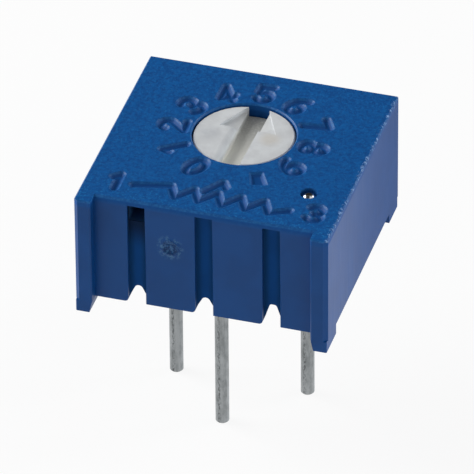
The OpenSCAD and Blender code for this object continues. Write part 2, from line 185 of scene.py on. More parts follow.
class Finish(Nodes):
    """A material, with short calls for the patterns and layers that it is made of."""

    def __init__(self, name):
        self.material = bpy.data.materials.new(name)
        super().__init__(self.material)
        self.output = self.add("ShaderNodeOutputMaterial")
        self.shader = self.add("ShaderNodeBsdfPrincipled")
        self.link(self.shader.outputs["BSDF"], self.output.inputs["Surface"])
        self.coordinates = self.add("ShaderNodeTexCoord")
        self.place = self.vector_math("SCALE", self.coordinates.outputs["Object"], scale=1 / MM)

    def noise(self, scale, detail=2.0, roughness=0.5, stretch=(1, 1, 1)):
        """Noise with about scale lumps per millimetre, stretched along each axis."""
        vector = self.vector_math("MULTIPLY", self.place, tuple(1 / s for s in stretch))
        node = self.add("ShaderNodeTexNoise")
        self.link(vector, node.inputs["Vector"])
        node.inputs["Scale"].default_value = scale
        node.inputs["Detail"].default_value = detail
        node.inputs["Roughness"].default_value = roughness
        return node.outputs["Fac"]

    def pitch_offset(self):
        """How far to the right of the nearest channel's or pin's middle a point lies."""
        side = self.parts(self.place)[0]
        column = self.math("ROUND", self.math("DIVIDE", side, CHANNEL_PITCH))
        return self.math("SUBTRACT", side, self.math("MULTIPLY", column, CHANNEL_PITCH))

    def mix(self, amount, a, b):
        """Colour between a and b."""
        node = self.add("ShaderNodeMix")
        node.data_type = "RGBA"
        self.feed(node.inputs["Factor"], amount)
        self.feed(node.inputs[6], a)
        self.feed(node.inputs[7], b)
        return node.outputs[2]

    def over(self, base, colour, *amounts):
        """Base with a colour laid over it, as strongly as the product of the amounts."""
        return self.mix(self.times(*amounts), base, colour)

    def blend(self, amount, a, b):
        """Number between a and b."""
        node = self.add("ShaderNodeMix")
        node.data_type = "FLOAT"
        self.feed(node.inputs["Factor"], amount)
        self.feed(node.inputs[2], a)
        self.feed(node.inputs[3], b)
        return node.outputs[0]

    def bump(self, height, depth, below=None):
        """Bump of the given depth in millimetres, over an earlier bump if one is given."""
        node = self.add("ShaderNodeBump")
        node.inputs["Strength"].default_value = 1.0
        node.inputs["Distance"].default_value = depth * MM
        self.feed(node.inputs["Height"], height)
        if below is not None:
            self.link(below, node.inputs["Normal"])
        return node.outputs["Normal"]

    def surface(self, colour, roughness, normal=None, **constants):
        """Sets the shader's sockets. Constants go straight on the sockets that they name."""
        self.feed(self.shader.inputs["Base Color"], colour)
        self.feed(self.shader.inputs["Roughness"], roughness)
        if normal is not None:
            self.link(normal, self.shader.inputs["Normal"])
        for name, value in constants.items():
            self.shader.inputs[name.replace("_", " ")].default_value = value
        return self.material


def grey(level):
    return (level, level, level, 1)


# Blues of the housing, as darker and lighter pairs and as single layers over them
WALL_BLUES = ((0.0, 0.055, 0.222, 1), (0.0002, 0.062, 0.248, 1))
TOP_BLUES = ((0.0, 0.060, 0.238, 1), (0.0004, 0.094, 0.330, 1))
MARK_BLUES = ((0.0, 0.058, 0.245, 1), (0.0003, 0.080, 0.300, 1))
SPECK_BLUE = (0.010, 0.170, 0.450, 1)
# Painted shade for the back of the right wall
REAR_SHADE_BLUE = (0.0, 0.030, 0.130, 1)
BAND_BLUE = (0.010, 0.050, 0.190, 1)
# Painted shade in the channels' corners
CORNER_SHADE_BLUE = (0.0, 0.038, 0.105, 1)
# Painted shade in the left channel
LEFT_CHANNEL_SHADE_BLUE = (0.0, 0.012, 0.046, 1)
# Painted light in the left channel's pocket
POCKET_LIGHT_BLUE = (0.030, 0.110, 0.260, 1)
# Wear and nicks on the edges, partly painted glints
RUBBED_GLINT_BLUE = (0.030, 0.230, 0.560, 1)
NICK_GLINT_BLUE = (0.220, 0.380, 0.680, 1)
TORN_BLUE = (0.0, 0.026, 0.095, 1)
WHITENED_BLUE = (0.085, 0.225, 0.390, 1)

# Zones of the front wall, each limit as where it starts and where it is full: how far behind the
# wall's face, to the side of a channel's middle, and at which x and z
CHANNEL_DEPTHS = ((0.03, 0.16), (0.40, 0.34))
CHANNEL_SIDE = (0.45, 0.40)
CHANNEL_TOP = (4.7, 4.6)
CHANNEL_REACH = (3.4, 3.2)
LEFT_CHANNEL_X = (-1.5, -1.8)
LEFT_SHADE_Z = (2.7, 3.9)
POCKET_DEPTHS = ((0.25, 0.30), (1.5, 1.4))
POCKET_X = (-1.8, -2.0)
POCKET_TOP = (4.80, 4.74)


def behind_front(limits):
    """Limits of depth behind the front wall's face, as limits of y."""
    return [tuple(FRONT_FACE_Y + depth for depth in limit) for limit in limits]


def dull_right_wall(f, base, right, rear_shade_and_dulling):
    """Right wall with soft upright flow bands, and painted shade that darkens it towards the back."""
    bands = f.noise(1.1, detail=2, stretch=(1, 1, 9))
    base = f.over(base, REAR_SHADE_BLUE, rear_shade_and_dulling)
    return f.over(base, BAND_BLUE, right, f.step(bands, 0.40, 0.62, 0.0, 0.25))


def soil_channels(f, base, channel, from_middle):
    """Channels with painted shade along their corners and in the left one, deepening upwards towards its pocket,
    and painted light that lifts the pocket's shade.
    """
    side, depth, height = f.parts(f.place)
    # Painted shade along each channel's corners, stronger away from its middle
    base = f.over(base, CORNER_SHADE_BLUE, channel, f.step(from_middle, 0.05, 0.30, 0.0, 0.50))
    # Painted shade in the left channel, deepening upwards towards its pocket
    left = f.times(channel, f.step(side, *LEFT_CHANNEL_X))
    base = f.over(base, LEFT_CHANNEL_SHADE_BLUE, left, f.step(height, *LEFT_SHADE_Z, 0.0, 0.92))
    # Painted light: a lighter blue lifts the shade deep in the pocket
    in_pocket = f.zone(depth, *behind_front(POCKET_DEPTHS))
    pocket = f.times(in_pocket, f.step(side, *POCKET_X), f.step(height, *POCKET_TOP))
    return f.over(base, POCKET_LIGHT_BLUE, pocket, 0.9)


def scar_gate(f, base):
    """Scar of the moulding gate: a ring whitened where the plastic tore round a dark middle."""
    away = f.vector_math("DISTANCE", f.place, (GATE[0], FRONT_FACE_Y, GATE[1]))
    tears = f.noise(7, detail=3, roughness=0.7)
    base = f.over(base, TORN_BLUE, f.step(away, 0.40, 0.24), f.step(tears, 0.54, 0.46, 0.0, 0.6))
    ring = f.times(f.step(away, 0.60, 0.36), f.step(away, 0.12, 0.30, 0.7, 1.0))
    return f.over(base, WHITENED_BLUE, ring, f.step(tears, 0.46, 0.62, 0.0, 0.62))


def housing_plastic():
    """Blue moulded plastic: eroded grain on the top face, smooth sunken marks, streaked walls."""
    f = Finish("housing_plastic")
    side, depth, height = f.parts(f.place)
    across, _, up = f.parts(f.coordinates.outputs["Normal"])
    grain_area = f.times(f.step(height, TOP_Z - 0.06, TOP_Z - 0.02), f.step(up, 0.86, 0.99))
    sunk = f.zone(height, (TOP_Z - 0.020, TOP_Z - 0.075), (TOP_Z - 0.30, TOP_Z - 0.20))
    fine = f.noise(8, detail=2, roughness=0.6)
    specks = f.noise(13, detail=2, roughness=0.6)
    cloud = f.noise(0.8, detail=2)
    wall = f.mix(f.step(cloud, 0.35, 0.65), *WALL_BLUES)
    top = f.mix(f.step(fine, 0.30, 0.70), *TOP_BLUES)
    # Light specks, stronger towards the front edge
    lit = f.step(depth, FRONT_FACE_Y + 1.6, FRONT_FACE_Y + 0.1, 0.0, 0.45)
    top = f.over(top, SPECK_BLUE, f.step(specks, 0.54, 0.68), f.math("ADD", 0.35, lit))
    base = f.mix(grain_area, wall, top)
    base = f.mix(sunk, base, f.mix(fine, *MARK_BLUES))

    right = f.step(across, 0.90, 0.97)
    # Painted shade: the right wall darkens towards the back, and grows rougher there too
    rear_shade_and_dulling = f.times(right, f.step(depth, -HALF_W, HALF_W, 0.0, 0.42))
    base = dull_right_wall(f, base, right, rear_shade_and_dulling)

    from_middle = f.math("ABSOLUTE", f.pitch_offset())
    channel = f.times(
        f.zone(depth, *behind_front(CHANNEL_DEPTHS)),
        f.step(from_middle, *CHANNEL_SIDE),
        f.step(height, *CHANNEL_TOP),
        f.step(f.math("ABSOLUTE", side), *CHANNEL_REACH),
    )
    base = soil_channels(f, base, channel, from_middle)

    # Bright specks of rubbed wear on the top face's chamfer, and nicks just beside the right one, partly painted
    # glints
    edge = f.times(f.step(height, TOP_Z - 0.085, TOP_Z - 0.055), f.step(up, 0.97, 0.88))
    wear = f.noise(9, detail=3, roughness=0.6)
    rubbed_and_glints = f.times(edge, f.step(wear, 0.36, 0.66, 0.08, 0.34))
    beside = f.times(
        f.step(side, HALF_W - 0.16, HALF_W - 0.04),
        f.step(height, TOP_Z - 0.14, TOP_Z - 0.05),
    )
    chips = f.noise(6.5, detail=3, roughness=0.7)
    nicks_and_glints = f.times(beside, f.step(chips, 0.53, 0.60, 0.0, 0.9))
    base = f.over(base, RUBBED_GLINT_BLUE, rubbed_and_glints)
    base = f.over(base, NICK_GLINT_BLUE, nicks_and_glints)
    base = scar_gate(f, base)

    streaks = f.noise(3.2, detail=2, stretch=(0.35, 0.35, 6))
    wall_roughness = f.math("ADD", f.blend(streaks, 0.36, 0.44), f.times(rear_shade_and_dulling, 0.5))
    roughness = f.blend(grain_area, wall_roughness, f.blend(specks, 0.50, 0.64))
    roughness = f.blend(sunk, roughness, 0.60)
    roughness = f.blend(channel, roughness, 0.90)
    grain = f.math("ADD", f.times(fine, 0.6), f.times(specks, 0.4))
    rough_area = f.math("ADD", grain_area, f.math("MAXIMUM", rubbed_and_glints, nicks_and_glints))
    wall_relief = f.bump(f.noise(8, detail=3), 0.0016)
    relief = f.bump(f.times(grain, rough_area), 0.024, wall_relief)
    return f.surface(base, roughness, relief, IOR=1.5, Specular_IOR_Level=0.24)


CLEAN_WHITES = ((0.590, 0.605, 0.620, 1), (0.660, 0.680, 0.695, 1))
# Painted light in the slot
SLOT_LIGHT_WHITE = (0.82, 0.82, 0.77, 1)
# Painted shade in the slot
SLOT_SHADE_GREY = (0.085, 0.095, 0.105, 1)


def rotor_plastic():
    """Off-white moulded plastic, satin, with flow marks, darker patches, painted light in the slot and painted
    shade towards its far end.
    """
    f = Finish("rotor_plastic")
    _, along, height = f.parts(f.place)
    cloud = f.noise(1.6, detail=3, roughness=0.6)
    fine = f.noise(12, detail=3)
    patch_noise = f.noise(2.2, detail=3, roughness=0.6)
    clean = f.mix(f.step(cloud, 0.35, 0.65), *CLEAN_WHITES)
    for spot, reach, shade in FACE_PATCHES:
        away = f.vector_math("DISTANCE", f.place, (*spot, ROTOR_FACE_Z))
        darker_patch = f.step(away, reach, reach * 0.2, 0.0, 0.6)
        clean = f.over(clean, shade, darker_patch, f.step(patch_noise, 0.30, 0.60, 0.5, 1.0))
    low = f.step(height, ROTOR_FACE_Z - 0.10, ROTOR_FACE_Z - 0.38)
    far = f.step(along, AXIS_Y - 1.0, AXIS_Y + 1.5, 0.0, 0.62)
    # Painted light: below the face the white turns lighter and warmer, fully from 0.38 mm down, so the slot's
    # floor shows light
    clean = f.over(clean, SLOT_LIGHT_WHITE, low)
    # Painted shade: a blotchy dark grey in the slot, growing towards its far end
    base = f.over(clean, SLOT_SHADE_GREY, low, far, f.step(fine, 0.25, 0.6, 0.75, 1.0))
    relief = f.bump(f.math("ADD", f.times(fine, 0.35), cloud), 0.010)
    return f.surface(base, f.blend(fine, 0.56, 0.70), relief, IOR=1.5, Specular_IOR_Level=0.35)


def ring_rubber():
    """Dull black silicone rubber."""
    f = Finish("ring_rubber")
    cloud = f.noise(4, detail=3)
    base = f.mix(cloud, grey(0.010), grey(0.022))
    return f.surface(base, f.blend(cloud, 0.55, 0.75), f.bump(f.noise(20, detail=3), 0.004))


def spring_metal():
    """Bright copper alloy strip with rolling lines."""
    f = Finish("spring_metal")
    lines = f.noise(6, detail=3, stretch=(0.2, 5, 1))
    base = f.mix(lines, (0.62, 0.42, 0.15, 1), (0.82, 0.62, 0.30, 1))
    return f.surface(base, f.blend(lines, 0.22, 0.38), f.bump(lines, 0.003), Metallic=1.0)


def ceramic():
    """Fired alumina: matt, cream white, finely grained."""
    f = Finish("ceramic")
    grain = f.noise(14, detail=4, roughness=0.7)
    cloud = f.noise(0.9, detail=2)
    base = f.mix(f.step(cloud, 0.3, 0.7), (0.80, 0.77, 0.70, 1), (0.86, 0.84, 0.79, 1))
    return f.surface(base, f.blend(grain, 0.60, 0.80), f.bump(grain, 0.006))


def resistive_film():
    """Fired cermet film: near black, slightly glassy."""
    f = Finish("resistive_film")
    grain = f.noise(11, detail=4, roughness=0.7)
    base = f.mix(grain, (0.008, 0.007, 0.006, 1), (0.028, 0.023, 0.019, 1))
    return f.surface(base, f.blend(grain, 0.30, 0.50), f.bump(grain, 0.004))


def conductor_film():
    """Fired silver-palladium film, dull grey."""
    f = Finish("conductor_film")
    grain = f.noise(10, detail=4, roughness=0.7)
    base = f.mix(grain, (0.42, 0.42, 0.42, 1), (0.60, 0.60, 0.61, 1))
    return f.surface(base, f.blend(grain, 0.42, 0.62), f.bump(grain, 0.004), Metallic=1.0)


def tinned_wire():
    """Dull tinned copper wire with faint drawing lines along it and cloudy patches."""
    f = Finish("tinned_wire")
    lines = f.noise(7, detail=3, stretch=(0.8, 0.8, 10))
    cloud = f.noise(3.4, detail=4, roughness=0.65, stretch=(1, 1, 1.8))
    mottle = f.math("ADD", f.times(lines, 0.35), f.times(cloud, 0.65))
    base = f.mix(f.step(mottle, 0.34, 0.66), (0.22, 0.235, 0.24, 1), (0.40, 0.42, 0.43, 1))
    # Small dark pits, most of them along the drawing die's line, just left of the pin's middle
    from_line = f.math("ABSOLUTE", f.math("ADD", f.pitch_offset(), 0.05))
    speck = f.noise(15, detail=3, roughness=0.7, stretch=(1, 1, 2.2))
    on_line = f.times(f.step(from_line, 0.08, 0.02), f.step(speck, 0.46, 0.58))
    pits = f.math("MAXIMUM", on_line, f.step(speck, 0.60, 0.70, 0.0, 0.5))
    base = f.over(base, (0.055, 0.060, 0.062, 1), pits, 0.7)
    relief = f.bump(f.noise(7, detail=3, stretch=(1, 1, 2)), 0.008, f.bump(lines, 0.003))
    return f.surface(base, f.step(cloud, 0.3, 0.7, 0.36, 0.52), relief, Metallic=0.92)


def solder():
    """Smooth solder with a little frosting."""
    f = Finish("solder")
    frost = f.noise(7, detail=3)
    base = f.mix(frost, (0.55, 0.56, 0.57, 1), (0.72, 0.73, 0.74, 1))
    return f.surface(base, f.blend(frost, 0.16, 0.36), f.bump(frost, 0.006), Metallic=1.0)


def resin():
    """Cast epoxy resin, dark blue-grey and half glossy, with soft waves."""
    f = Finish("resin")
    cloud = f.noise(0.9, detail=3)
    speck = f.noise(9, detail=3, roughness=0.7)
    base = f.mix(f.step(cloud, 0.35, 0.65), (0.010, 0.030, 0.062, 1), (0.018, 0.045, 0.085, 1))
    base = f.over(base, (0.05, 0.08, 0.12, 1), f.step(speck, 0.60, 0.70, 0.0, 0.5))
    relief = f.bump(f.noise(0.7, detail=2), 0.05, f.bump(speck, 0.004))
    return f.surface(base, f.blend(speck, 0.16, 0.30), relief, IOR=1.55)


def polished_steel():
    """Polished steel ball with fine lapping marks."""
    f = Finish("polished_steel")
    marks = f.noise(12, detail=2)
    base = f.mix(marks, (0.70, 0.70, 0.70, 1), (0.80, 0.80, 0.81, 1))
    return f.surface(base, f.blend(marks, 0.04, 0.10), f.bump(marks, 0.0004), Metallic=1.0)


FINISHES = {
    "housing_plastic": housing_plastic,
    "rotor_plastic": rotor_plastic,
    "ring_rubber": ring_rubber,
    "spring_metal": spring_metal,
    "ceramic": ceramic,
    "resistive_film": resistive_film,
    "conductor_film": conductor_film,
    "tinned_wire": tinned_wire,
    "solder": solder,
    "resin": resin,
    "polished_steel": polished_steel,
}
materials = {slot: make() for slot, make in FINISHES.items()}


def dress(obj, slot):
    """Puts the slot's material on all of an object."""
    obj.data.materials.clear()
    obj.data.materials.append(materials[slot])


for entry in frame["record"]["subparts"]:
    dress(nodes[entry["node"]], entry["material_slot"])


# Sunken marks: strokes are lists of points, from arcs and lines


def arc(centre, radii, start, end, steps=14):
    """Points on an ellipse from one angle to another, in degrees."""
    return [
        (centre[0] + radii[0] * math.cos(a), centre[1] + radii[1] * math.sin(a))
        for a in np.radians(np.linspace(start, end, steps))
    ]


# Each sign stands in a cell one unit high and about 0.6 wide, centred on its middle
SIGNS = {
    "0": [arc((0, 0), (0.25, 0.42), 0, 360, 24)],
    "1": [[(-0.18, 0.24), (0.04, 0.42), (0.04, -0.42)]],
    "2": [arc((0, 0.18), (0.24, 0.24), 165, -20, 10) + [(-0.25, -0.42), (0.26, -0.42)]],
    "3": [
        arc((-0.03, 0.20), (0.24, 0.22), 150, -90, 12)
        + arc((-0.03, -0.20), (0.27, 0.22), 90, -150, 12),
    ],
    "4": [[(0.13, -0.42), (0.13, 0.42), (-0.26, -0.16), (0.28, -0.16)]],
    "5": [
        [(0.22, 0.42), (-0.19, 0.42), (-0.22, 0.06)]
        + arc((-0.01, -0.15), (0.26, 0.27), 125, -150, 12),
    ],
    "6": [arc((0, -0.17), (0.25, 0.25), 0, 360, 18), arc((0.22, -0.15), (0.47, 0.57), 100, 180, 8)],
    "7": [[(-0.25, 0.42), (0.25, 0.42), (-0.08, -0.42)]],
    "8": [arc((0, 0.21), (0.20, 0.21), 0, 360, 16), arc((0, -0.20), (0.25, 0.22), 0, 360, 16)],
    "9": [arc((0, 0.17), (0.25, 0.25), 0, 360, 18), arc((-0.22, 0.15), (0.47, 0.57), -80, 0, 8)],
}


def sign_strokes(sign, centre, height, turn=0.0):
    """Strokes of one sign, centred on a point and turned clockwise by an angle in degrees."""
    a = math.radians(turn)
    return [
        [
            (
                centre[0] + height * (x * math.cos(a) + y * math.sin(a)),
                centre[1] + height * (y * math.cos(a) - x * math.sin(a)),
            )
            for x, y in stroke
        ]
        for stroke in SIGNS[sign]
    ]


# The dial: plain numbers round the rotor, evenly spaced over its travel, which is in degrees
# clockwise from the back
DIAL_RADIUS = 2.66
DIAL_HEIGHT = 1.10
DIAL_START = -155.0
DIAL_STEP = 31.0
DIAL_NUMBERS = 10

# The marks along the front edge: pin numbers and the sign for a resistor with a wiper
PIN_MARK_HEIGHT = 1.02
PIN_MARK_1 = (-3.60, -3.20)
PIN_MARK_3 = (3.86, -3.16)
ZIGZAG_Y = -3.25
ZIGZAG_HALF_HEIGHT = 0.33
ZIGZAG_START = -2.95
ZIGZAG_END = 2.92
ZIGZAG_FIRST_TOOTH = -1.62
ZIGZAG_PITCH = 0.88
ZIGZAG_TEETH = 5
ZIGZAG_LEAN = 0.32
WIPER_LINE = [(-0.36, -2.93), (0.14, -2.22), (0.32, -2.50)]

# The block in front of the rotor, between the dial's two ends
INDEX_BLOCK = [(0.82, -1.36), (1.36, -1.20), (1.78, -1.98), (1.08, -2.14)]

# Half width of a stroke at its rim, width of its sloping flanks, and depth
MARK_HALF_WIDTH = 0.21
MARK_FLANK = 0.19
MARK_DEPTH = 0.14

# A length beyond the part's reach, and the least that a segment's length squared counts as
FAR = 1e9
TINY = 1e-12


def dial_strokes():
    strokes = []
    for k in range(DIAL_NUMBERS):
        turn = DIAL_START + k * DIAL_STEP
        a = math.radians(turn)
        centre = (DIAL_RADIUS * math.sin(a), AXIS_Y + DIAL_RADIUS * math.cos(a))
        strokes += sign_strokes(str(k), centre, DIAL_HEIGHT, turn)
    return strokes


def zigzag_stroke():
    points = [(ZIGZAG_START, ZIGZAG_Y)]
    for k in range(ZIGZAG_TEETH):
        x = ZIGZAG_FIRST_TOOTH + k * ZIGZAG_PITCH
        points.append((x, ZIGZAG_Y + ZIGZAG_HALF_HEIGHT))
        points.append((x + ZIGZAG_LEAN, ZIGZAG_Y - ZIGZAG_HALF_HEIGHT))
    points.append((ZIGZAG_END, ZIGZAG_Y))
    return points


def distance_to_strokes(points, strokes):
    """Distance of each point from the nearest stroke."""
    nearest = np.full(len(points), FAR)
    for stroke in strokes:
        for start, end in zip(stroke[:-1], stroke[1:]):
            a = np.array(start)
            along = np.array(end) - a
            t = np.clip((points - a) @ along / max(along @ along, TINY), 0, 1)
            away = np.linalg.norm(points - a - t[:, None] * along, axis=1)
            nearest = np.minimum(nearest, away)
    return nearest


def distance_to_block(points, corners):
    """Distance of each point outside a convex block given clockwise, negative inside."""
    outside = np.full(len(points), -FAR)
    for start, end in zip(corners, corners[1:] + corners[:1]):
        a = np.array(start)
        along = np.array(end) - a
        outward = np.array((-along[1], along[0])) / np.linalg.norm(along)
        outside = np.maximum(outside, (points - a) @ outward)
    return outside


def mark_edge_distance(points):
    """Distance of each point outside the nearest mark's rim, negative inside it."""
    strokes = dial_strokes() + [zigzag_stroke(), WIPER_LINE]
    strokes += sign_strokes("1", PIN_MARK_1, PIN_MARK_HEIGHT)
    strokes += sign_strokes("3", PIN_MARK_3, PIN_MARK_HEIGHT)
    lines = distance_to_strokes(points, strokes) - MARK_HALF_WIDTH
    return np.minimum(lines, distance_to_block(points, INDEX_BLOCK))


def smooth(t):
    t = np.clip(t, 0, 1)
    return t * t * (3 - 2 * t)


# Copy of the housing with the marks sunk into its top face and the gate's scar on its front wall

# Spacing of the grid, how far it reaches past a mark's rim, and how near it comes to a face's edges
GRID = 0.028
FLAT_MARGIN = 0.07
EDGE_CLEARANCE = 0.022
# Round on the channels' edges, and the width beside each side wall where none stands
CHANNEL_ROUND = 0.04
CORNER_MARGIN = 1.0
# How far a vertex may lie from the plane that it counts as part of
IN_PLANE = 1e-3
# Vertices nearer than the first are one in the CAD mesh, and than the second after rounding
SAME_PLACE = 1e-4
SHORT_EDGE = 0.003
# Edges bent by less than the first are flat, by more than the second sharp, and than the third
# the corners that are rounded
FLAT_ANGLE = math.radians(0.5)
SHARP_ANGLE = math.radians(32)
CORNER_ANGLE = 1.0

# The scar's relief: the crater's depth and the width of its slope, the torn rim's height and half
# width, the roughness and the width over which it fades, and the sizes of the rim's lumps and of
# the tears. The fine grid reaches this many times the scar's radius
GATE_CRATER = 0.045
GATE_SLOPE = 0.12
GATE_CREST = 0.05
GATE_CREST_W = 0.06
GATE_ROUGHNESS = 0.055
GATE_FADE = 0.10
GATE_LUMPS = 0.16
GATE_TEARS = 0.07
GATE_REACH = 1.7


def boundary_edges(faces):
    """Edges between the given faces and the rest of the mesh."""
    chosen = set(faces)
    return {e for f in chosen for e in f.edges if sum(g in chosen for g in e.link_faces) == 1}


def edge_loops(edges):
    """Closed loops of vertices along the given edges."""
    follow = {}
    for e in edges:
        for v in e.verts:
            follow.setdefault(v, []).append(e.other_vert(v))
    loops = []
    while follow:
        start = min(follow, key=lambda v: v.index)
        loop = [start]
        nearby = follow.pop(start)
        while any(v in follow for v in nearby):
            v = next(v for v in nearby if v in follow)
            loop.append(v)
            nearby = follow.pop(v)
        loops.append(loop)
    return loops


def inside(point, outline):
    """Whether a point lies inside a closed outline."""
    x, y = point
    x0, y0 = outline.T
    x1, y1 = np.roll(outline, -1, axis=0).T
    spans = (y0 > y) != (y1 > y)
    crossing = x0[spans] + (y - y0[spans]) * (x1[spans] - x0[spans]) / (y1[spans] - y0[spans])
    return np.count_nonzero(crossing > x) % 2 == 1


def soften_channels(bm):
    """Rounds the upright outer edges of the channels in the front wall."""
    bmesh.ops.dissolve_limit(bm, angle_limit=FLAT_ANGLE, verts=bm.verts, edges=bm.edges)
    upright = []
    for e in bm.edges:
        a, b = (v.co for v in e.verts)
        off = max(abs(a.y - FRONT_FACE_Y), abs(b.y - FRONT_FACE_Y), abs(a.x - b.x))
        inner = abs(a.x) < HALF_W - CORNER_MARGIN
        if off < IN_PLANE and inner and e.calc_face_angle(0) > CORNER_ANGLE:
            upright.append(e)
    bmesh.ops.bevel(
        bm, geom=upright, offset=CHANNEL_ROUND, segments=3, profile=0.5, affect="EDGES")
    bmesh.ops.remove_doubles(bm, verts=bm.verts, dist=SHORT_EDGE)


def relief_face(bm, faces, axes, inward, wanted, depth_of):
    """Replaces flat faces by fine triangles that sink where depth_of says so, with their rims kept.

    axes are the two axes in the faces and the one across them, inward is +1 or -1 along the last,
    and wanted picks the grid points that are needed.
    """
    i, j, k = axes
    rim_edges = boundary_edges(faces)
    loops = edge_loops(rim_edges)
    rim = [v for loop in loops for v in loop]
    level = rim[0].co[k]
    number = {v: n for n, v in enumerate(rim)}
    constraints = [tuple(number[v] for v in e.verts) for e in rim_edges]
    rim_points = np.array([(v.co[i], v.co[j]) for v in rim])
    outlines = [np.array([(v.co[i], v.co[j]) for v in loop]) for loop in loops]
    outlines.sort(key=lambda o: np.ptp(o[:, 0]), reverse=True)

    low, high = rim_points.min(axis=0), rim_points.max(axis=0)
    lines = [np.arange(low[n], high[n], GRID) for n in (0, 1)]
    grid = np.array(np.meshgrid(*lines)).reshape(2, -1).T
    grid = grid[wanted(grid)]
    segments = [rim_points[list(pair)] for pair in constraints]
    grid = grid[distance_to_strokes(grid, segments) > EDGE_CLEARANCE]
    points = np.vstack([rim_points, grid])
    depth = depth_of(points)
    depth[:len(rim)] = 0

    places, _, triangles, sources = geometry.delaunay_2d_cdt(
        [Vector(p) for p in points], constraints, [], 0, 1e-6)[:4]
    bmesh.ops.delete(bm, geom=faces, context="FACES_ONLY")
    verts = []
    for place, source in zip(places, sources):
        n = source[0]
        if n < len(rim):
            verts.append(rim[n])
            continue
        point = Vector()
        point[i], point[j], point[k] = place.x, place.y, level + inward * depth[n]
        verts.append(bm.verts.new(point))
    made = []
    for corners in triangles:
        middle = np.mean([places[n][:] for n in corners], axis=0)
        in_hole = any(inside(middle, hole) for hole in outlines[1:])
        if inside(middle, outlines[0]) and not in_hole:
            made.append(bm.faces.new([verts[n] for n in corners]))
    return made


def mark_depth(points):
    return MARK_DEPTH * smooth(-mark_edge_distance(points) / MARK_FLANK)


def uneven(points, size, seed):
    """Noise from -1 to 1 with lumps of the given size."""
    return np.array([noise.noise(Vector((x / size, y / size, seed))) for x, y in points])


def gate_depth(points):
    """Shallow crater with a broken, raised rim."""
    out = points - np.array(GATE)
    distance = np.linalg.norm(out, axis=1)
    rough = uneven(out, GATE_TEARS, seed=8.1)
    rim = GATE_RADIUS * (1 + 0.25 * uneven(out, GATE_LUMPS, seed=3.7))
    crater = GATE_CRATER * smooth((rim - distance) / GATE_SLOPE)
    torn = np.clip(0.5 + 1.8 * rough, 0, 1.4)
    crest = GATE_CREST * np.exp(-((distance - rim - 0.01) / GATE_CREST_W) ** 2) * torn
    broken = GATE_ROUGHNESS * rough * smooth((rim + GATE_FADE - distance) / GATE_FADE)
    return crater - crest + broken


def near_mark(points):
    return mark_edge_distance(points) < FLAT_MARGIN


def near_gate(points):
    return np.linalg.norm(points - np.array(GATE), axis=1) < GATE_REACH * GATE_RADIUS


def mesh_in_mm(node):
    """A copy of a CAD node's mesh in millimetres, with its triangles joined at their corners."""
    bm = bmesh.new()
    bm.from_mesh(nodes[node].data)
    bmesh.ops.scale(bm, vec=(1 / MM,) * 3, verts=bm.verts)
    bmesh.ops.remove_doubles(bm, verts=bm.verts, dist=SAME_PLACE)
    return bm


def straddles(face, axis, value):
    """Whether a face reaches from below to above a value along an axis."""
    reach = [v.co[axis] for v in face.verts]
    return min(reach) < value < max(reach)


def marked_housing():
    """The housing with the sunken marks, the gate's scar and softened channels."""
    bm = mesh_in_mm("housing")
    soften_channels(bm)
    bm.verts.index_update()
    top = [f for f in bm.faces if all(abs(v.co.z - TOP_Z) < IN_PLANE for v in f.verts)]
    made = relief_face(bm, top, (0, 1, 2), -1, near_mark, mark_depth)
    bm.verts.index_update()
    post = [
        f for f in bm.faces if all(abs(v.co.y - FRONT_FACE_Y) < IN_PLANE for v in f.verts)
        and straddles(f, 0, GATE[0]) and straddles(f, 2, GATE[1])
    ]
    made += relief_face(bm, post, (0, 2, 1), 1, near_gate, gate_depth)
    bmesh.ops.recalc_face_normals(bm, faces=bm.faces)
    made = set(made)
    for e in bm.edges:
        in_relief = all(f in made for f in e.link_faces)
        e.smooth = in_relief or e.calc_face_angle(math.pi) < SHARP_ANGLE
    return finished_piece(bm, "housing_moulding")


def finished_piece(bm, name):
    """Turns a mesh in millimetres, with its sharp edges marked, into a smoothly shaded object."""
    bmesh.ops.scale(bm, vec=(MM,) * 3, verts=bm.verts)
    mesh = bpy.data.meshes.new(name)
    bm.to_mesh(mesh)
    bm.free()
    mesh.polygons.foreach_set("use_smooth", [True] * len(mesh.polygons))
    piece = bpy.data.objects.new(name, mesh)
    piece.modifiers.new("flat_faces", "WEIGHTED_NORMAL").keep_sharp = True
    bpy.context.scene.collection.objects.link(piece)
    return piece


# Copy of the rotor: slot's left edge rounded, and arrow head running out shallow to the barbs

# The slot and the arrow head, as in the CAD part, and the depth left at the barbs' ends
SLOT_HALF_W = 0.40
ARROW_Y = 0.40
ARROW_DEPTH = 0.18
ARROW_HALF_W = 1.08
BARB_DEPTH = 0.07
# The rounded edge: width, drop, and its lengthwise cuts as shares of the width
ROUND_W = 0.30
ROUND_DROP = 0.22
ROUND_CUTS = (0.08, 0.2, 0.36, 0.56, 0.78, 1.0)
# Depths below the face that its chamfered rim and the slot's walls stay within
RIM_DEPTH = 0.06
WALL_DEPTH = 0.5
# How far a vertex may lie past the barbs, and past the slot's edge as a share of the rounded
# width, and still be moved
PAST_BARBS = 0.01
PAST_EDGE = 0.02


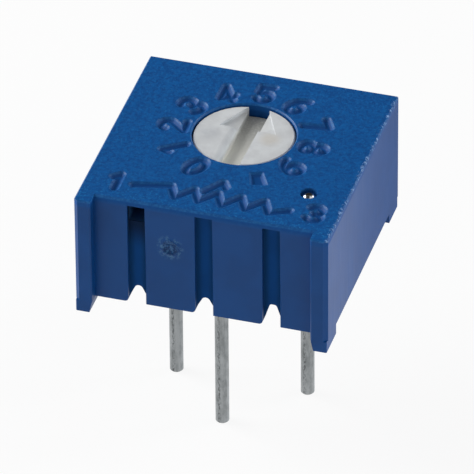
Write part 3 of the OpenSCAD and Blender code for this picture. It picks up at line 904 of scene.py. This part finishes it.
def softened_rotor():
    """A copy of the rotor whose slot is softly rounded on one side, as moulded."""
    bm = mesh_in_mm("rotor")
    bmesh.ops.dissolve_limit(bm, angle_limit=FLAT_ANGLE, verts=bm.verts, edges=bm.edges)
    arrow_z = ROTOR_FACE_Z - ARROW_DEPTH
    arrow = [v.co for v in bm.verts if abs(v.co.z - arrow_z) < IN_PLANE]
    tips = sorted(arrow, key=lambda c: -c.y)[:2]
    tip = (tips[0] + tips[1]) / 2
    turn = math.atan2(tip.x, tip.y - AXIS_Y)
    right = Vector((math.cos(turn), -math.sin(turn), 0))
    ahead = Vector((math.sin(turn), math.cos(turn), 0))
    centre = Vector((0, AXIS_Y, 0))
    top = [f for f in bm.faces if min(v.co.z for v in f.verts) > ROTOR_FACE_Z - RIM_DEPTH]
    for share in ROUND_CUTS:
        geom = top + list({e for f in top for e in f.edges})
        geom += list({v for f in top for v in f.verts})
        place = centre + right * (-SLOT_HALF_W - share * ROUND_W)
        cut = bmesh.ops.bisect_plane(bm, geom=geom, dist=1e-5, plane_co=place, plane_no=right)
        top = [g for g in cut["geom"] if isinstance(g, bmesh.types.BMFace)]
    for v in bm.verts:
        x, y = (v.co - centre).dot(right), (v.co - centre).dot(ahead)
        if abs(v.co.z - arrow_z) < IN_PLANE:
            out = (abs(x) - SLOT_HALF_W) / (ARROW_HALF_W - SLOT_HALF_W)
            v.co.z += (ARROW_DEPTH - BARB_DEPTH) * min(max(out, 0), 1)
        elif v.co.z > ROTOR_FACE_Z - RIM_DEPTH and y < ARROW_Y + PAST_BARBS:
            t = (-x - SLOT_HALF_W) / ROUND_W
            if -PAST_EDGE < t < 1:
                v.co.z -= ROUND_DROP * (1 - math.sqrt(max(1 - (1 - max(t, 0)) ** 2, 0)))
    upper = [f for f in bm.faces if min(v.co.z for v in f.verts) > ROTOR_FACE_Z - WALL_DEPTH]
    bmesh.ops.triangulate(bm, faces=upper)
    for e in bm.edges:
        e.smooth = e.calc_face_angle(math.pi) < SHARP_ANGLE
    return finished_piece(bm, "rotor_moulding")


moulding = marked_housing()
dress(moulding, "housing_plastic")
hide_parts("housing")
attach(moulding, "body")

turner = softened_rotor()
dress(turner, "rotor_plastic")
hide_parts("rotor")
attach(turner, "rotor")


# Floor, world and lamps

# The floor's side in metres, how far it lies below the pins' ends, and its greys
FLOOR_SIZE = 1.2
FLOOR_DROP = 0.01
FLOOR_GREYS = (0.80, 0.84)
# Share of the lit floor that shows through its white, so that the shadow stays
FLOOR_SHADE = 0.10
# Brightness of the world below and above these elevations, in degrees
WORLD_LOW = 0.90
WORLD_HIGH = 1.02
WORLD_CHANGE = (6, 24)
# Dark parts of the world, behind, in front of and above the part: direction, outer and inner half
# angle, and brightness
DARK_CONES = [
    ((-0.20, 0.78, 0.59), 58, 25, 0.03),
    ((0.10, -0.80, 0.60), 42, 20, 0.25),
    ((-0.16, -0.14, 0.97), 32, 14, 0.06),
]
# Square lamps: their distance in metres, and for each its name, direction, size in metres, power
# and colour
SOFTBOX_DISTANCE = 0.30
SOFTBOXES = [
    ("softbox_left", (-0.88, 0.10, 0.46), 0.20, 0.90, (1, 1, 1)),
    ("softbox_right", (0.82, 0.50, 0.14), 0.08, 0.42, (0.86, 0.94, 1.0)),
    ("sparkle", (0.60, 0.55, 0.55), 0.04, 0.04, (1, 1, 1)),
]


def white_stage():
    """Pale floor that the camera sees as near white, with the part's shadow still on it."""
    f = Finish("floor")
    cloud = f.noise(0.02, detail=2)
    f.surface(f.mix(cloud, *(grey(level) for level in FLOOR_GREYS)), 0.9)
    rays = f.add("ShaderNodeLightPath").outputs
    seen = f.math("MAXIMUM", rays["Is Camera Ray"], rays["Is Glossy Ray"])
    seen = f.math("MAXIMUM", seen, rays["Is Transmission Ray"])
    glow = f.add("ShaderNodeEmission")
    glow.inputs["Color"].default_value = grey(1.0)
    glow.inputs["Strength"].default_value = 1.0
    share = f.add("ShaderNodeMixShader")
    f.link(f.times(seen, 1 - FLOOR_SHADE), share.inputs["Fac"])
    f.link(f.shader.outputs["BSDF"], share.inputs[1])
    f.link(glow.outputs["Emission"], share.inputs[2])
    f.link(share.outputs["Shader"], f.output.inputs["Surface"])
    mesh = bpy.data.meshes.new("floor")
    half = FLOOR_SIZE / 2
    z = (PIN_TIP_Z - FLOOR_DROP) * MM
    corners = [(-half, -half, z), (half, -half, z), (half, half, z), (-half, half, z)]
    mesh.from_pydata(corners, [], [(0, 1, 2, 3)])
    mesh.materials.append(f.material)
    floor = bpy.data.objects.new("floor", mesh)
    bpy.context.scene.collection.objects.link(floor)


def set_world():
    """White for the camera, and almost as bright for the part, apart from the dark cones."""
    world = bpy.data.worlds.new("world")
    bpy.context.scene.world = world
    n = Nodes(world)
    towards = n.add("ShaderNodeTexCoord").outputs["Generated"]
    rise = n.parts(towards)[2]
    low, high = (math.sin(math.radians(a)) for a in WORLD_CHANGE)
    strength = n.step(rise, low, high, WORLD_LOW, WORLD_HIGH)
    for direction, outer, inner, shade in DARK_CONES:
        near = n.vector_math("DOT_PRODUCT", towards, Vector(direction).normalized())
        low, high = (math.cos(math.radians(a)) for a in (outer, inner))
        strength = n.times(strength, n.step(near, low, high, 1.0, shade))
    tent = n.add("ShaderNodeBackground")
    n.link(strength, tent.inputs["Strength"])
    white = n.add("ShaderNodeBackground")
    white.inputs["Color"].default_value = grey(1.0)
    share = n.add("ShaderNodeMixShader")
    n.link(n.add("ShaderNodeLightPath").outputs["Is Camera Ray"], share.inputs["Fac"])
    n.link(tent.outputs["Background"], share.inputs[1])
    n.link(white.outputs["Background"], share.inputs[2])
    n.link(share.outputs["Shader"], n.add("ShaderNodeOutputWorld").inputs["Surface"])


def softbox(name, direction, size, power, colour):
    """Square area lamp that looks at the part from the given direction."""
    data = bpy.data.lights.new(name, "AREA")
    data.shape = "SQUARE"
    data.size = size
    data.energy = power
    data.color = colour
    lamp = bpy.data.objects.new(name, data)
    away = Vector(direction).normalized()
    turn = away.to_track_quat("Z", "Y").to_matrix().to_4x4()
    lamp.matrix_world = Matrix.Translation(away * SOFTBOX_DISTANCE) @ turn
    bpy.context.scene.collection.objects.link(lamp)


white_stage()
set_world()
for row in SOFTBOXES:
    softbox(*row)
add_camera()

bpy.context.scene.view_settings.view_transform = "Standard"
